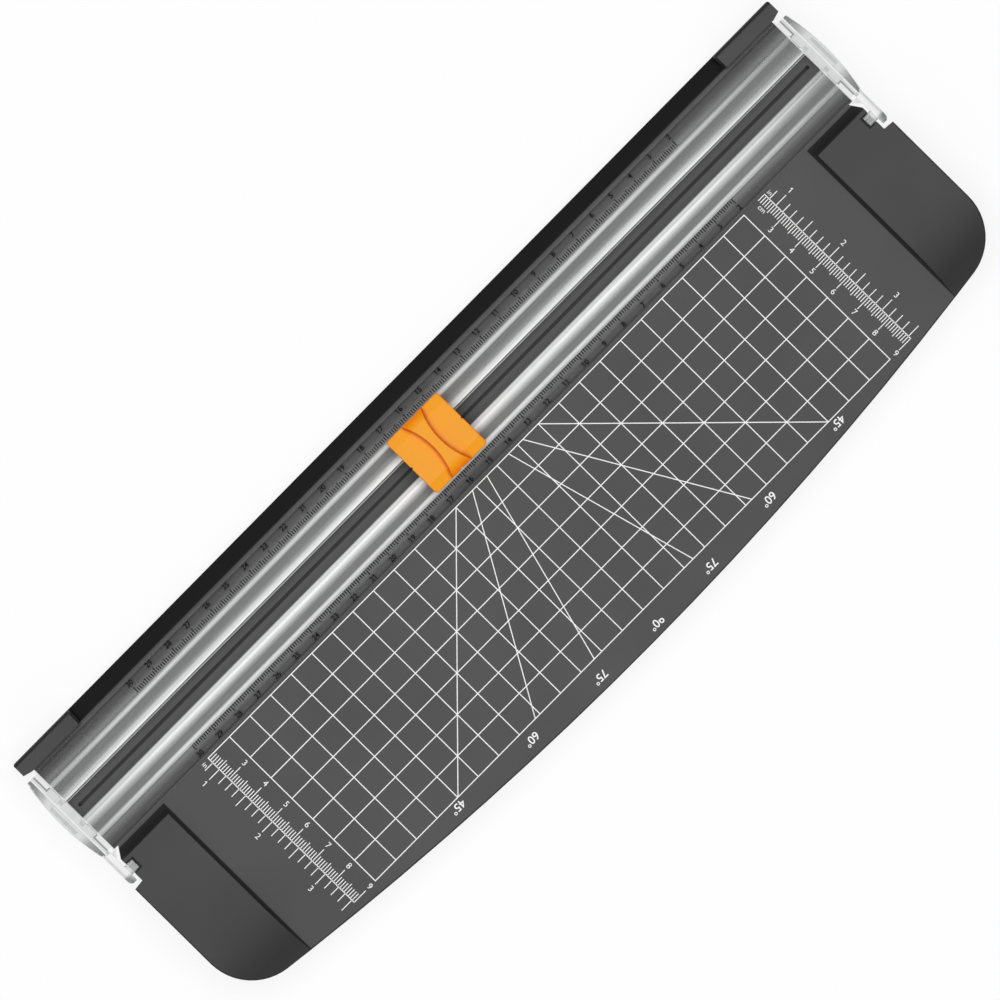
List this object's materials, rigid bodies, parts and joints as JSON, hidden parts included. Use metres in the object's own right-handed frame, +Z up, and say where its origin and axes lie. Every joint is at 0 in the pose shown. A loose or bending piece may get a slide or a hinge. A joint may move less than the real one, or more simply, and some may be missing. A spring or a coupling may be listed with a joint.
{
  "type": "paper trimmer",
  "caption": "Flat desk paper trimmer: dark deck with side guides, clear rail that lifts on end pegs, and an orange press slider that runs a small blade along the rail's slot.",
  "frame": {"origin": "centre of the plan outline, on the surface the feet stand on", "axes": "+X along the rail to the right, +Y to the back where the rail is, +Z up"},
  "size_m": [0.3722, 0.1262, 0.0336],
  "materials": {
    "deck_plastic": "fine moulded texture, satin",
    "strip_plastic": "smooth moulded",
    "foot_rubber": "matt",
    "clear_plastic": "clear, polished",
    "orange_plastic": "satin moulded",
    "shuttle_plastic": "smooth moulded",
    "spring_steel": "drawn wire",
    "blade_steel": "ground"
  },
  "bodies": {
    "base": {"base_deck": "deck_plastic", "cutting_strip": "strip_plastic", "foot_front_left": "foot_rubber", "foot_front_middle": "foot_rubber", "foot_front_right": "foot_rubber", "foot_back_left": "foot_rubber", "foot_back_middle": "foot_rubber", "foot_back_right": "foot_rubber"},
    "rail": {"front_rail": "clear_plastic", "rear_rail": "clear_plastic", "left_end_cap": "clear_plastic", "right_end_cap": "clear_plastic"},
    "slider": {"slider_shuttle": "shuttle_plastic", "return_spring_front": "spring_steel", "return_spring_rear": "spring_steel"},
    "press_cap": {"slider_cap": "orange_plastic", "blade_holder": "shuttle_plastic", "cutter_blade": "blade_steel", "blade_rivet": "spring_steel"}
  },
  "joints": [
    {"name": "rail_lift", "type": "hinge", "parent": "base", "child": "rail", "pos_m": [0, 0.00985, 0.017], "axis": [1, 0, 0], "range_deg": [0, 70]},
    {"name": "slider_travel", "type": "slide", "parent": "rail", "child": "slider", "axis": [1, 0, 0], "range_m": [-0.16665, 0.17335]},
    {"name": "cap_press", "type": "slide", "parent": "slider", "child": "press_cap", "axis": [0, 0, -1], "range_m": [0, 0.0025], "stiffness_N_per_m": 800, "springref_m": -0.004, "deforming": ["return_spring_front", "return_spring_rear"]}
  ]
}
